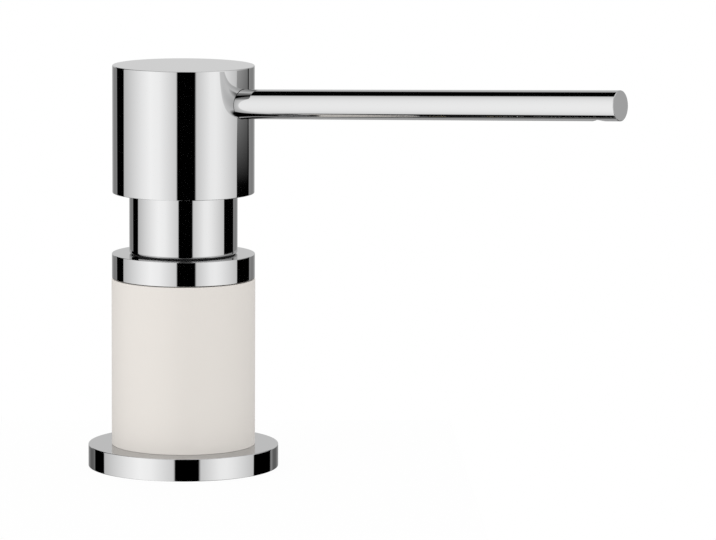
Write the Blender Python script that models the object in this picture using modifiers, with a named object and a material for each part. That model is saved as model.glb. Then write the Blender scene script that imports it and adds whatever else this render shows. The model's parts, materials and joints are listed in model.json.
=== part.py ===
"""Built-in washing-up liquid dispenser: pump head, lift-out pump, worktop base, clamp and bottle.

Metres, +Z up. The origin is on the pump's axis, level with the top of the worktop.
Heights are above the worktop. The spout points along +X.
"""

import math

import bmesh
import bpy
from mathutils import Matrix, Vector

# Clearances
FIT_GAP = 0.0003          # between faces that touch or slide on the real one
SEAL_GAP = 0.0002         # between a rubber ring and the wall it seals on
STOP_SPARE = 0.0005       # left at the end of the stroke
CUT_OVERRUN = 0.0020      # how far a cutter runs past the face it cuts
MERGE_DISTANCE = 0.00001

# Worktop that the dispenser is clamped to
WORKTOP_THICKNESS = 0.0300

# Base flange and its gasket
FLANGE_DIAMETER = 0.0504
FLANGE_HEIGHT = 0.0059
FLANGE_EDGE = 0.0004
FLANGE_RIM = 0.0029       # metal left round the gasket's recess
GASKET_THICKNESS = 0.0020

# White body sleeve
BODY_DIAMETER = 0.0380
BODY_HEIGHT = 0.0440
BODY_EDGE = 0.0003
BODY_LIP_HEIGHT = 0.0040
BODY_LIP_WALL = 0.0047
BODY_WALL = 0.0030        # between the two lips

# Collar ring
COLLAR_SETBACK = 0.0001   # how far it stands in from the body's side
COLLAR_HEIGHT = 0.0065
COLLAR_LIP = 0.0020
COLLAR_EDGE = 0.00015

# Neck sleeve, which the cap slides over
NECK_WALL = 0.0013
NECK_SHOWN = 0.0157
NECK_FOOT_ROUND = 0.0003
NECK_WEB = 0.0015
NECK_TOP_EDGE = 0.0004
SPIGOT_WALL = 0.0017
SPIGOT_LENGTH = 0.0160
SPIGOT_SEAL_DROP = 0.0080
SPIGOT_SEAL_WIRE = 0.0008

# Cap of the pump head
CAP_SETBACK = 0.00025     # how far it stands in from the body's side
CAP_WALL = 0.00175
CAP_TOP_THICKNESS = 0.0025
CAP_EDGE = 0.0003
GUIDE_RING_HEIGHT = 0.0047
GUIDE_RING_WALL = 0.0021

# Spout
SPOUT_DIAMETER = 0.00775
SPOUT_WALL = 0.0010
SPOUT_REACH = 0.1312      # from the pump's axis to the end face, along the tube
SPOUT_DROP = 0.0103       # from the cap's top down to the tube's axis, at the pump's axis
SPOUT_RISE = math.radians(3.2)
SPOUT_ROOT = 0.0034
SPOUT_END_EDGE = 0.00015
OUTLET_DIAMETER = 0.0037
OUTLET_FROM_END = 0.0060
SPOUT_SEAL_THICKNESS = 0.0012
CROSS_BORE_PAST_AXIS = 0.0030

# Core inside the cap
CORE_FLOOR = 0.000725     # under the hole for the spout
CORE_BOSS_WALL = 0.0027
CORE_SOCKET_WEB = 0.0012
CHANNEL_SLOT = 0.0014     # lets liquid past the outlet ball when it is up
SWIVEL_SEAL_HEIGHT = 0.0031   # of the seal's middle above the boss's end
SWIVEL_SEAL_WIRE = 0.0011
GROOVE_ROOM = 0.0005      # extra height of a seal's groove

# Pump stem with the outlet valve at its top
STROKE = 0.0130
STEM_DIAMETER = 0.0070
STEM_WALL = 0.0011
THROAT_LENGTH = 0.0020
OUTLET_BALL_ROOM = 0.0005     # round the ball in its chamber
OUTLET_SEAT_WIDTH = 0.0007    # from the throat out to the ball's side
OUTLET_CHAMBER_DEPTH = 0.0055
OUTLET_CONE_DEPTH = 0.0015
STEM_SHOULDER = 0.0015
STEM_FOOT = 0.0015

# Piston and cylinder
PISTON_HEIGHT = 0.0080
PISTON_WALL = 0.0017
PISTON_SEAL_WIRE = 0.0008
CYLINDER_WALL = 0.0012
CYLINDER_FLANGE = 0.0015
CYLINDER_TAPER = 0.0040
SOCKET_WALL = 0.0015
SOCKET_DEPTH = 0.0140
VALVE_WEB = 0.0020
VENT_DIAMETER = 0.0020
VENT_DROP = 0.0100
BUSH_DISC = 0.0056
BUSH_SLEEVE = 0.0370
BUSH_EDGE = 0.0004

# Return spring
SPRING_LENGTH = 0.0254
SPRING_WIRE = 0.0010
SPRING_TURNS = 8
POINTS_PER_TURN = 10

# Inlet valve
INLET_BALL_ROOM = 0.0006      # round the ball in its cage
INLET_SEAT_WIDTH = 0.0012     # from the throat out to the ball's side
INLET_CONE_DEPTH = 0.0022
CAGE_WALL = 0.0018
CAGE_LIP = 0.0020
CAGE_LIP_REACH = 0.0006       # how far the lip reaches in over the ball
CAGE_ROOM = 0.0055
CAGE_SLOT = 0.0014

# Dip tube
DIP_TUBE_DIAMETER = 0.0080
DIP_TUBE_WALL = 0.0010
DIP_TUBE_CLEARANCE = 0.0050
DIP_TUBE_SLANT = math.radians(40)

# Threaded shank, clamp and bottle
SHANK_WALL = 0.0017
SHANK_BELOW = 0.0850
SHANK_EDGE = 0.0005
CLAMP_DIAMETER = 0.0540
CLAMP_GASKET_THICKNESS = 0.0020
CLAMP_WASHER_THICKNESS = 0.0020
CLAMP_ROOM = 0.0006       # between the clamp's holes and the shank
NUT_HEIGHT = 0.0120
NUT_WALL = 0.0050
NUT_EDGE = 0.0008
NUT_SPAN = 0.0580
NUT_WING_THICKNESS = 0.0060
NUT_WING_HEIGHT = 0.0095
BOTTLE_DIAMETER = 0.0740
BOTTLE_BODY_HEIGHT = 0.1270
BOTTLE_WALL = 0.0015
BOTTLE_NECK_WALL = 0.0020
BOTTLE_NECK_OVERLAP = 0.0210
BOTTLE_LEDGE = 0.0020
BOTTLE_SHOULDER = 0.0150
BOTTLE_CORNER = 0.0060
BOTTLE_PUSH_UP = 0.0030
BOTTLE_SEAL_THICKNESS = 0.0015

# Facets
WIDE_SIDES = 56
MIDDLE_SIDES = 32
NARROW_SIDES = 20
RING_SECTION_SIDES = 6
FILLET_STEPS = 2
SHOULDER_STEPS = 5

# Radii that follow, from the body inwards
FLANGE = FLANGE_DIAMETER / 2
RECESS = FLANGE - FLANGE_RIM
BODY = BODY_DIAMETER / 2
BODY_RELIEF = BODY - BODY_WALL
SHANK_HOLE = BODY - BODY_LIP_WALL
SHANK = SHANK_HOLE - FIT_GAP
SHANK_BORE = SHANK - SHANK_WALL
SPIGOT = SHANK_BORE - FIT_GAP
SPIGOT_BORE = SPIGOT - SPIGOT_WALL
COLLAR = BODY - COLLAR_SETBACK
CAP = BODY - CAP_SETBACK
CAP_BORE = CAP - CAP_WALL
CORE = CAP_BORE - FIT_GAP
GUIDE_BORE = CORE - GUIDE_RING_WALL
NECK = GUIDE_BORE - FIT_GAP
NECK_BORE = NECK - NECK_WALL
INSERT_FLANGE = NECK_BORE - FIT_GAP

# Radii that follow, from the stem outwards
STEM = STEM_DIAMETER / 2
STEM_BORE = STEM - STEM_WALL
OUTLET_BALL = STEM_BORE - OUTLET_BALL_ROOM
OUTLET_THROAT = OUTLET_BALL - OUTLET_SEAT_WIDTH
STEM_HOLE = STEM + FIT_GAP
BOSS = STEM_HOLE + CORE_BOSS_WALL
PISTON = STEM_HOLE + PISTON_WALL
CYLINDER_BORE = PISTON + FIT_GAP
CYLINDER = CYLINDER_BORE + CYLINDER_WALL
CAGE = CYLINDER_BORE - FIT_GAP
INLET_CHAMBER = CAGE - CAGE_WALL
INLET_BALL = INLET_CHAMBER - INLET_BALL_ROOM
INLET_THROAT = INLET_BALL - INLET_SEAT_WIDTH
SPRING = CAGE - FIT_GAP - SPRING_WIRE / 2
STEM_FLANGE = SPRING + SPRING_WIRE / 2

# Radii that follow, of the tubes
SPOUT = SPOUT_DIAMETER / 2
SPOUT_BORE = SPOUT - SPOUT_WALL
SPOUT_HOLE = SPOUT + FIT_GAP
DIP_TUBE = DIP_TUBE_DIAMETER / 2
DIP_TUBE_BORE = DIP_TUBE - DIP_TUBE_WALL
SOCKET_BORE = DIP_TUBE + FIT_GAP
SOCKET = SOCKET_BORE + SOCKET_WALL

# Heights that follow, from the worktop up
BODY_BOTTOM = FLANGE_HEIGHT + FIT_GAP
BODY_TOP = BODY_BOTTOM + BODY_HEIGHT
COLLAR_BOTTOM = BODY_TOP + FIT_GAP
COLLAR_TOP = COLLAR_BOTTOM + COLLAR_HEIGHT
SHANK_TOP = COLLAR_TOP - COLLAR_LIP - FIT_GAP
NECK_FOOT = COLLAR_TOP + FIT_GAP
NECK_STEP = NECK_FOOT + NECK_WEB
SPIGOT_END = NECK_FOOT - SPIGOT_LENGTH
SPIGOT_SEAL = NECK_FOOT - SPIGOT_SEAL_DROP
CYLINDER_SEAT = NECK_STEP + FIT_GAP
CYLINDER_TOP = CYLINDER_SEAT + CYLINDER_FLANGE
BUSH_BOTTOM = CYLINDER_TOP + FIT_GAP
BUSH_TOP = BUSH_BOTTOM + BUSH_DISC
BUSH_END = BUSH_BOTTOM - BUSH_SLEEVE
BOSS_END = BUSH_TOP + STROKE + STOP_SPARE
SWIVEL_SEAL = BOSS_END + SWIVEL_SEAL_HEIGHT
CAP_BOTTOM = NECK_FOOT + NECK_SHOWN
GUIDE_BOTTOM = CAP_BOTTOM + FIT_GAP
GUIDE_TOP = GUIDE_BOTTOM + GUIDE_RING_HEIGHT
NECK_TOP = GUIDE_TOP
CORE_BOTTOM = NECK_TOP + STROKE + STOP_SPARE
SOCKET_CEILING = CORE_BOTTOM - CORE_SOCKET_WEB
STEM_TOP = SOCKET_CEILING - FIT_GAP
SPOUT_HEIGHT = CORE_BOTTOM + CORE_FLOOR + SPOUT_HOLE
CAP_TOP = SPOUT_HEIGHT + SPOUT_DROP
CAP_CEILING = CAP_TOP - CAP_TOP_THICKNESS
CORE_TOP = CAP_CEILING - FIT_GAP

# Heights that follow, from the stem's shoulder down
SHOULDER_TOP = BUSH_END - FIT_GAP
SHOULDER_BOTTOM = SHOULDER_TOP - STEM_SHOULDER
PISTON_TOP = SHOULDER_BOTTOM - FIT_GAP
PISTON_BOTTOM = PISTON_TOP - PISTON_HEIGHT
FOOT_TOP = PISTON_BOTTOM - FIT_GAP
STEM_BOTTOM = FOOT_TOP - STEM_FOOT
SPRING_TOP = STEM_BOTTOM - FIT_GAP
SPRING_BOTTOM = SPRING_TOP - SPRING_LENGTH
CAGE_TOP = SPRING_BOTTOM - FIT_GAP
CAGE_BOTTOM = CAGE_TOP - CAGE_LIP - CAGE_ROOM
CYLINDER_FLOOR = CAGE_BOTTOM - FIT_GAP
CONE_BOTTOM = CYLINDER_FLOOR - INLET_CONE_DEPTH
SOCKET_TOP = CONE_BOTTOM - VALVE_WEB
SOCKET_BOTTOM = SOCKET_TOP - SOCKET_DEPTH

# Heights that follow, under the worktop
CLAMP_GASKET_TOP = -WORKTOP_THICKNESS
WASHER_TOP = CLAMP_GASKET_TOP - CLAMP_GASKET_THICKNESS - FIT_GAP
NUT_TOP = WASHER_TOP - CLAMP_WASHER_THICKNESS - FIT_GAP
BOTTLE_TOP = BOTTLE_NECK_OVERLAP - SHANK_BELOW
BOTTLE_SEAL_TOP = -SHANK_BELOW - FIT_GAP
LEDGE_TOP = BOTTLE_SEAL_TOP - BOTTLE_SEAL_THICKNESS - FIT_GAP
SHOULDER_START = LEDGE_TOP - BOTTLE_LEDGE
BOTTLE_BOTTOM = SHOULDER_START - BOTTLE_SHOULDER - BOTTLE_BODY_HEIGHT
BOTTLE_FLOOR = BOTTLE_BOTTOM + BOTTLE_PUSH_UP + BOTTLE_WALL
DIP_TUBE_TOP = SOCKET_TOP - FIT_GAP
DIP_TUBE_BOTTOM = BOTTLE_FLOOR + DIP_TUBE_CLEARANCE

# Colour, metallic share and roughness share of each finish
FINISHES = {
    "chrome": ((0.84, 0.85, 0.87), 1.0, 0.05),
    "white_moulding": ((0.80, 0.76, 0.70), 0.0, 0.45),
    "grey_plastic": ((0.32, 0.33, 0.34), 0.0, 0.45),
    "clear_plastic": ((0.78, 0.80, 0.80), 0.0, 0.30),
    "bottle_plastic": ((0.85, 0.85, 0.82), 0.0, 0.40),
    "black_rubber": ((0.03, 0.03, 0.03), 0.0, 0.70),
    "steel": ((0.62, 0.63, 0.65), 1.0, 0.25),
    "brass": ((0.72, 0.60, 0.36), 1.0, 0.30),
}


def clear_scene():
    for item in list(bpy.data.objects):
        bpy.data.objects.remove(item, do_unlink=True)


def add_collection(name):
    collection = bpy.data.collections.new(name)
    bpy.context.scene.collection.children.link(collection)
    return collection


def make_finish(name):
    colour, metallic, roughness = FINISHES[name]
    material = bpy.data.materials.get(name) or bpy.data.materials.new(name)
    material.use_nodes = True
    shader = material.node_tree.nodes["Principled BSDF"]
    shader.inputs["Base Color"].default_value = (*colour, 1.0)
    shader.inputs["Metallic"].default_value = metallic
    shader.inputs["Roughness"].default_value = roughness
    return material


def add_piece(name, data, carrier, finish):
    """Put a mesh or curve in the part's collection, on the empty that carries it."""
    data.materials.append(make_finish(finish))
    piece = bpy.data.objects.new(name, data)
    piece.parent = carrier
    PARTS.objects.link(piece)
    return piece


def add_tool(name, mesh, carrier=None):
    """Put a cutter or a shape that is joined on among the cutters, unseen in renders."""
    tool = bpy.data.objects.new(name, mesh)
    tool.parent = carrier
    tool.hide_render = True
    tool.display_type = 'WIRE'
    CUTTERS.objects.link(tool)
    return tool


def add_carrier(name, height=0.0, parent=None, tilt=0.0):
    """An empty on the pump's axis that carries the pieces of one body."""
    carrier = bpy.data.objects.new(name, None)
    carrier.location.z = height
    carrier.rotation_euler.y = tilt
    carrier.parent = parent
    PARTS.objects.link(carrier)
    return carrier


def filleted(corners):
    """Turn corners given as (radius, height, fillet) into arcs and keep the plain ones."""
    points = []
    for index, corner in enumerate(corners):
        here = Vector(corner[:2])
        if len(corner) == 2:
            points.append(here)
            continue
        back = (Vector(corners[index - 1][:2]) - here).normalized()
        ahead = (Vector(corners[(index + 1) % len(corners)][:2]) - here).normalized()
        half_angle = back.angle(ahead) / 2
        centre = here + (back + ahead).normalized() * corner[2] / math.sin(half_angle)
        spoke = here + back * corner[2] / math.tan(half_angle) - centre
        side = math.copysign(1, back.x * ahead.y - back.y * ahead.x)
        for step in range(FILLET_STEPS + 1):
            turn = side * (2 * half_angle - math.pi) * step / FILLET_STEPS
            points.append(centre + Matrix.Rotation(turn, 2) @ spoke)
    return points


def add_turned(name, carrier, corners, sides, finish, on_axis=False):
    """Spin an outline, given down the outside and then up the inside, about the carrier's Z."""
    points = filleted(corners)
    edges = [(index, index + 1) for index in range(len(points) - 1)]
    if not on_axis:
        edges.append((len(points) - 1, 0))
    mesh = bpy.data.meshes.new(name)
    mesh.from_pydata([(point.x, 0, point.y) for point in points], edges, [])
    piece = add_piece(name, mesh, carrier, finish)
    screw = piece.modifiers.new("Turn", 'SCREW')
    screw.axis = 'Z'
    screw.steps = sides
    screw.render_steps = sides
    screw.use_merge_vertices = True
    screw.merge_threshold = MERGE_DISTANCE
    screw.use_smooth_shade = True
    return piece


def add_washer(name, carrier, outer, inner, top, bottom, sides, finish):
    corners = [(outer, top), (outer, bottom), (inner, bottom), (inner, top)]
    return add_turned(name, carrier, corners, sides, finish)


def add_seal(name, carrier, middle, wire, height, sides):
    """A rubber ring of round section."""
    section = []
    for step in range(RING_SECTION_SIDES):
        angle = math.pi / 2 - 2 * math.pi * step / RING_SECTION_SIDES
        section.append((middle + math.cos(angle) * wire / 2, height + math.sin(angle) * wire / 2))
    return add_turned(name, carrier, section, sides, "black_rubber")


def add_ball(name, carrier, radius, height):
    mesh = bpy.data.meshes.new(name)
    shape = bmesh.new()
    bmesh.ops.create_uvsphere(shape, u_segments=NARROW_SIDES // 2, v_segments=NARROW_SIDES // 3,
                              radius=radius)
    shape.to_mesh(mesh)
    shape.free()
    mesh.shade_smooth()
    ball = add_piece(name, mesh, carrier, "steel")
    ball.location.z = height
    return ball


def drill_mesh(name, radius, length, sides):
    """A closed cylinder about Z that starts at its own origin."""
    mesh = bpy.data.meshes.new(name)
    shape = bmesh.new()
    bmesh.ops.create_cone(shape, cap_ends=True, segments=sides, radius1=radius, radius2=radius,
                          depth=length, matrix=Matrix.Translation((0, 0, length / 2)))
    shape.to_mesh(mesh)
    shape.free()
    return mesh


def block_mesh(name, length, width, height):
    mesh = bpy.data.meshes.new(name)
    shape = bmesh.new()
    bmesh.ops.create_cube(shape, size=1.0, matrix=Matrix.Diagonal((length, width, height, 1)))
    shape.to_mesh(mesh)
    shape.free()
    return mesh


def combine(piece, tool, operation='DIFFERENCE'):
    boolean = piece.modifiers.new(tool.name, 'BOOLEAN')
    boolean.operation = operation
    boolean.solver = 'EXACT'
    boolean.object = tool


def ball_height(ball, chamber, throat, depth, cone_top):
    """Height of a ball's centre when it lies one fit gap clear of its cone, from the radii."""
    run = chamber - throat
    slope = math.hypot(run, depth)
    return cone_top + ((ball + FIT_GAP) * slope - depth * chamber) / run


def make_base():
    base = add_carrier("base")
    recess_top = GASKET_THICKNESS + FIT_GAP
    add_turned("base_flange", base, [
        (SHANK_HOLE, FLANGE_HEIGHT), (FLANGE, FLANGE_HEIGHT, FLANGE_EDGE),
        (FLANGE, 0, FLANGE_EDGE), (RECESS, 0), (RECESS, recess_top), (SHANK_HOLE, recess_top),
    ], WIDE_SIDES, "chrome")
    add_washer("deck_gasket", base, RECESS - FIT_GAP, SHANK_HOLE, GASKET_THICKNESS, 0,
               MIDDLE_SIDES, "black_rubber")
    lip_top = BODY_TOP - BODY_LIP_HEIGHT
    lip_bottom = BODY_BOTTOM + BODY_LIP_HEIGHT
    add_turned("body_sleeve", base, [
        (BODY, BODY_TOP, BODY_EDGE), (BODY, BODY_BOTTOM, BODY_EDGE),
        (SHANK_HOLE, BODY_BOTTOM), (SHANK_HOLE, lip_bottom), (BODY_RELIEF, lip_bottom),
        (BODY_RELIEF, lip_top), (SHANK_HOLE, lip_top), (SHANK_HOLE, BODY_TOP),
    ], WIDE_SIDES, "white_moulding")
    lip = COLLAR_TOP - COLLAR_LIP
    add_turned("collar_ring", base, [
        (COLLAR, COLLAR_TOP, COLLAR_EDGE), (COLLAR, COLLAR_BOTTOM, COLLAR_EDGE),
        (SHANK_HOLE, COLLAR_BOTTOM), (SHANK_HOLE, lip), (SHANK_BORE, lip),
        (SHANK_BORE, COLLAR_TOP),
    ], WIDE_SIDES, "chrome")
    add_turned("threaded_shank", base, [
        (SHANK, SHANK_TOP, SHANK_EDGE), (SHANK, -SHANK_BELOW, SHANK_EDGE),
        (SHANK_BORE, -SHANK_BELOW), (SHANK_BORE, SHANK_TOP),
    ], MIDDLE_SIDES, "brass")
    make_bottle(base)


def shoulder_curve(start, end, top, bottom):
    """Points down an S-shaped shoulder from one radius to another."""
    points = []
    for step in range(SHOULDER_STEPS + 1):
        share = step / SHOULDER_STEPS
        ease = share * share * (3 - 2 * share)
        points.append((start + (end - start) * share, top + (bottom - top) * ease))
    return points


def make_bottle(base):
    outer = BOTTLE_DIAMETER / 2
    inner = outer - BOTTLE_WALL
    neck = SHANK_HOLE + BOTTLE_NECK_WALL
    shoulder_end = SHOULDER_START - BOTTLE_SHOULDER
    stand = outer - 2 * BOTTLE_CORNER
    outside = [(neck, BOTTLE_TOP)] + shoulder_curve(neck, outer, SHOULDER_START, shoulder_end)
    inside = shoulder_curve(SHANK_BORE, inner, SHOULDER_START - BOTTLE_WALL,
                            shoulder_end - BOTTLE_WALL)
    inside.reverse()
    add_turned("soap_bottle", base, [
        *outside, (outer, BOTTLE_BOTTOM, BOTTLE_CORNER), (stand, BOTTLE_BOTTOM),
        (stand - BOTTLE_PUSH_UP, BOTTLE_BOTTOM + BOTTLE_PUSH_UP),
        (0, BOTTLE_BOTTOM + BOTTLE_PUSH_UP), (0, BOTTLE_FLOOR),
        (stand - BOTTLE_PUSH_UP, BOTTLE_FLOOR), (stand, BOTTLE_BOTTOM + BOTTLE_WALL),
        (inner, BOTTLE_BOTTOM + BOTTLE_WALL, BOTTLE_CORNER - BOTTLE_WALL), *inside,
        (SHANK_BORE, LEDGE_TOP), (SHANK_HOLE, LEDGE_TOP), (SHANK_HOLE, BOTTLE_TOP),
    ], MIDDLE_SIDES, "bottle_plastic")
    add_washer("bottle_seal", base, SHANK, SHANK_BORE, BOTTLE_SEAL_TOP,
               BOTTLE_SEAL_TOP - BOTTLE_SEAL_THICKNESS, MIDDLE_SIDES, "black_rubber")


def make_clamp():
    clamp = add_carrier("clamp")
    hole = SHANK + CLAMP_ROOM
    add_washer("clamp_gasket", clamp, CLAMP_DIAMETER / 2, hole, CLAMP_GASKET_TOP,
               CLAMP_GASKET_TOP - CLAMP_GASKET_THICKNESS, MIDDLE_SIDES, "black_rubber")
    add_washer("clamp_washer", clamp, CLAMP_DIAMETER / 2, hole, WASHER_TOP,
               WASHER_TOP - CLAMP_WASHER_THICKNESS, MIDDLE_SIDES, "steel")
    nut_axis = add_carrier("nut_axis", NUT_TOP - NUT_HEIGHT, clamp)
    hub = drill_mesh("clamp_nut", hole + NUT_WALL, NUT_HEIGHT, MIDDLE_SIDES)
    nut = add_piece("clamp_nut", hub, nut_axis, "grey_plastic")
    for name, turn in (("wings_along_x", 0), ("wings_along_y", math.pi / 2)):
        wings = add_tool(name, block_mesh(name, NUT_SPAN, NUT_WING_THICKNESS, NUT_WING_HEIGHT),
                         nut_axis)
        wings.location.z = NUT_WING_HEIGHT / 2
        wings.rotation_euler.z = turn
        bevel = wings.modifiers.new("Edges", 'BEVEL')
        bevel.width = NUT_EDGE
        bevel.segments = FILLET_STEPS
        combine(nut, wings, 'UNION')
    bore_mesh = drill_mesh("nut_bore", hole, NUT_HEIGHT + 2 * CUT_OVERRUN, MIDDLE_SIDES)
    bore = add_tool("nut_bore", bore_mesh, nut_axis)
    bore.location.z = -CUT_OVERRUN
    combine(nut, bore)


def make_insert():
    insert = add_carrier("pump_insert")
    seal_radius = SPIGOT_SEAL_WIRE / 2
    seal_middle = SHANK_BORE - SEAL_GAP - seal_radius
    groove = seal_middle - seal_radius - SEAL_GAP
    groove_half = seal_radius + GROOVE_ROOM / 2
    add_turned("neck_sleeve", insert, [
        (NECK, NECK_TOP, NECK_TOP_EDGE), (NECK, NECK_FOOT, NECK_FOOT_ROUND),
        (SPIGOT, NECK_FOOT), (SPIGOT, SPIGOT_SEAL + groove_half),
        (groove, SPIGOT_SEAL + groove_half), (groove, SPIGOT_SEAL - groove_half),
        (SPIGOT, SPIGOT_SEAL - groove_half), (SPIGOT, SPIGOT_END), (SPIGOT_BORE, SPIGOT_END),
        (SPIGOT_BORE, NECK_STEP), (NECK_BORE, NECK_STEP), (NECK_BORE, NECK_TOP),
    ], WIDE_SIDES, "chrome")
    add_seal("insert_seal", insert, seal_middle, SPIGOT_SEAL_WIRE, SPIGOT_SEAL, MIDDLE_SIDES)
    make_cylinder(insert)
    add_turned("stem_bush", insert, [
        (INSERT_FLANGE, BUSH_TOP, BUSH_EDGE), (INSERT_FLANGE, BUSH_BOTTOM),
        (PISTON, BUSH_BOTTOM), (PISTON, BUSH_END), (STEM_HOLE, BUSH_END), (STEM_HOLE, BUSH_TOP),
    ], MIDDLE_SIDES, "grey_plastic")
    make_ball_cage(insert)
    make_spring(insert)
    make_dip_tube(insert)


def make_cylinder(insert):
    cylinder = add_turned("pump_cylinder", insert, [
        (INSERT_FLANGE, CYLINDER_TOP), (INSERT_FLANGE, CYLINDER_SEAT),
        (CYLINDER, CYLINDER_SEAT), (CYLINDER, CONE_BOTTOM),
        (SOCKET, CONE_BOTTOM - CYLINDER_TAPER), (SOCKET, SOCKET_BOTTOM),
        (SOCKET_BORE, SOCKET_BOTTOM), (SOCKET_BORE, SOCKET_TOP), (INLET_THROAT, SOCKET_TOP),
        (INLET_THROAT, CONE_BOTTOM), (INLET_CHAMBER, CYLINDER_FLOOR),
        (CYLINDER_BORE, CYLINDER_FLOOR), (CYLINDER_BORE, CYLINDER_TOP),
    ], MIDDLE_SIDES, "clear_plastic")
    drill = drill_mesh("vent_drill", VENT_DIAMETER / 2, CYLINDER + CUT_OVERRUN, NARROW_SIDES // 2)
    vent = add_tool("vent_drill", drill, insert)
    vent.location.z = CYLINDER_TOP - VENT_DROP
    vent.rotation_euler.y = -math.pi / 2
    combine(cylinder, vent)


def make_ball_cage(insert):
    """The cage that keeps the inlet ball over its seat and carries the spring."""
    hole = INLET_BALL - CAGE_LIP_REACH
    lip_bottom = CAGE_TOP - CAGE_LIP
    cage = add_turned("ball_cage", insert, [
        (CAGE, CAGE_TOP), (CAGE, CAGE_BOTTOM), (INLET_CHAMBER, CAGE_BOTTOM),
        (INLET_CHAMBER, lip_bottom), (hole, lip_bottom), (hole, CAGE_TOP),
    ], NARROW_SIDES, "clear_plastic")
    slot_height = CAGE_LIP + 2 * CUT_OVERRUN
    for name, turn in (("cage_slot_x", 0), ("cage_slot_y", math.pi / 2)):
        slot_mesh = block_mesh(name, 2 * INLET_CHAMBER, CAGE_SLOT, slot_height)
        slot = add_tool(name, slot_mesh, insert)
        slot.location.z = CAGE_TOP - CAGE_LIP / 2
        slot.rotation_euler.z = turn
        combine(cage, slot)
    add_ball("inlet_ball", insert, INLET_BALL,
             ball_height(INLET_BALL, INLET_CHAMBER, INLET_THROAT, INLET_CONE_DEPTH,
                         CYLINDER_FLOOR))


def make_spring(insert):
    """A coil of one wire between the cage and the stem's foot."""
    rise = SPRING_LENGTH - SPRING_WIRE
    start = SPRING_BOTTOM + SPRING_WIRE / 2
    steps = SPRING_TURNS * POINTS_PER_TURN
    coil = []
    for step in range(steps + 1):
        angle = 2 * math.pi * step / POINTS_PER_TURN
        coil.append(Vector((SPRING * math.cos(angle), SPRING * math.sin(angle),
                            start + rise * step / steps)))
    curve = bpy.data.curves.new("return_spring", 'CURVE')
    curve.dimensions = '3D'
    curve.bevel_depth = SPRING_WIRE / 2
    curve.bevel_resolution = 1
    curve.use_fill_caps = True
    spline = curve.splines.new('POLY')
    spline.points.add(len(coil) - 1)
    for point, place in zip(spline.points, coil):
        point.co = (*place, 1)
    spline.use_smooth = True
    add_piece("return_spring", curve, insert, "steel")
    far_points = POINTS_PER_TURN // 2
    least = min((coil[b] - coil[a]).length for a in range(len(coil))
                for b in range(a + far_points, len(coil)))
    print(f"least gap of the spring to itself {least - SPRING_WIRE:.5f} m")


def make_dip_tube(insert):
    tube = add_turned("dip_tube", insert, [
        (DIP_TUBE, DIP_TUBE_TOP), (DIP_TUBE, DIP_TUBE_BOTTOM),
        (DIP_TUBE_BORE, DIP_TUBE_BOTTOM), (DIP_TUBE_BORE, DIP_TUBE_TOP),
    ], NARROW_SIDES, "clear_plastic")
    side = 4 * DIP_TUBE_DIAMETER
    knife = add_tool("dip_tube_knife", block_mesh("dip_tube_knife", side, side, side), insert)
    centre = Vector((0, 0, DIP_TUBE_BOTTOM + DIP_TUBE * math.tan(DIP_TUBE_SLANT)))
    knife.rotation_euler.y = DIP_TUBE_SLANT
    knife.location = centre - Vector((math.sin(DIP_TUBE_SLANT), 0,
                                      math.cos(DIP_TUBE_SLANT))) * side / 2
    combine(tube, knife)


def make_stem():
    rod = add_carrier("pump_rod")
    chamber_floor = STEM_TOP - OUTLET_CHAMBER_DEPTH
    throat_top = chamber_floor - OUTLET_CONE_DEPTH
    throat_bottom = throat_top - THROAT_LENGTH
    add_turned("pump_stem", rod, [
        (STEM, STEM_TOP), (STEM, SHOULDER_TOP), (STEM_FLANGE, SHOULDER_TOP),
        (STEM_FLANGE, SHOULDER_BOTTOM), (STEM, SHOULDER_BOTTOM), (STEM, FOOT_TOP),
        (STEM_FLANGE, FOOT_TOP), (STEM_FLANGE, STEM_BOTTOM), (STEM_BORE, STEM_BOTTOM),
        (STEM_BORE, throat_bottom), (OUTLET_THROAT, throat_bottom),
        (OUTLET_THROAT, throat_top), (STEM_BORE, chamber_floor), (STEM_BORE, STEM_TOP),
    ], NARROW_SIDES, "clear_plastic")
    add_ball("outlet_ball", rod, OUTLET_BALL,
             ball_height(OUTLET_BALL, STEM_BORE, OUTLET_THROAT, OUTLET_CONE_DEPTH,
                         chamber_floor))
    seal_radius = PISTON_SEAL_WIRE / 2
    seal_middle = CYLINDER_BORE - SEAL_GAP - seal_radius
    groove = seal_middle - seal_radius - SEAL_GAP
    middle = (PISTON_TOP + PISTON_BOTTOM) / 2
    groove_half = seal_radius + GROOVE_ROOM / 2
    add_turned("piston", rod, [
        (PISTON, PISTON_TOP), (PISTON, middle + groove_half), (groove, middle + groove_half),
        (groove, middle - groove_half), (PISTON, middle - groove_half), (PISTON, PISTON_BOTTOM),
        (STEM_HOLE, PISTON_BOTTOM), (STEM_HOLE, PISTON_TOP),
    ], MIDDLE_SIDES, "grey_plastic")
    add_seal("piston_seal", rod, seal_middle, PISTON_SEAL_WIRE, middle, MIDDLE_SIDES)


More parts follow.
